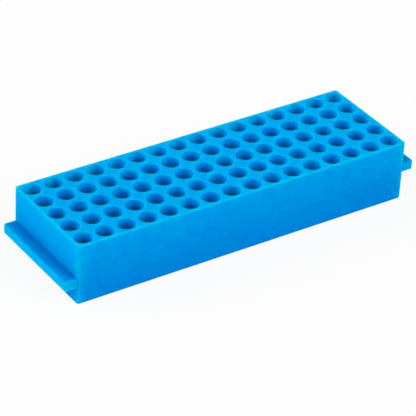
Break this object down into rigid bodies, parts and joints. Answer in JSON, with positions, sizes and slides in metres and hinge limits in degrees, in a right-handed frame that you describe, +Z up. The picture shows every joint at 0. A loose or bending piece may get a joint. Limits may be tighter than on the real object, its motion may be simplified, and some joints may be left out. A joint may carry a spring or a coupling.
{
  "type": "microcentrifuge tube rack",
  "caption": "Long rectangular block with a grid of round wells, open at both ends, for small snap-cap tubes that hang by their collars, with a flat lifting flange at each end, one lower than the other.",
  "frame": {"origin": "centre of the foot, halfway along and across the rack", "axes": "+X along the rack towards the high flange, +Y across it, +Z up out of the wells"},
  "size_m": [0.2566, 0.0754, 0.041],
  "materials": {
    "rack_plastic": "satin, slightly translucent moulded polypropylene, bright azure"
  },
  "bodies": {
    "root": {"tube_rack": "rack_plastic"}
  },
  "joints": []
}
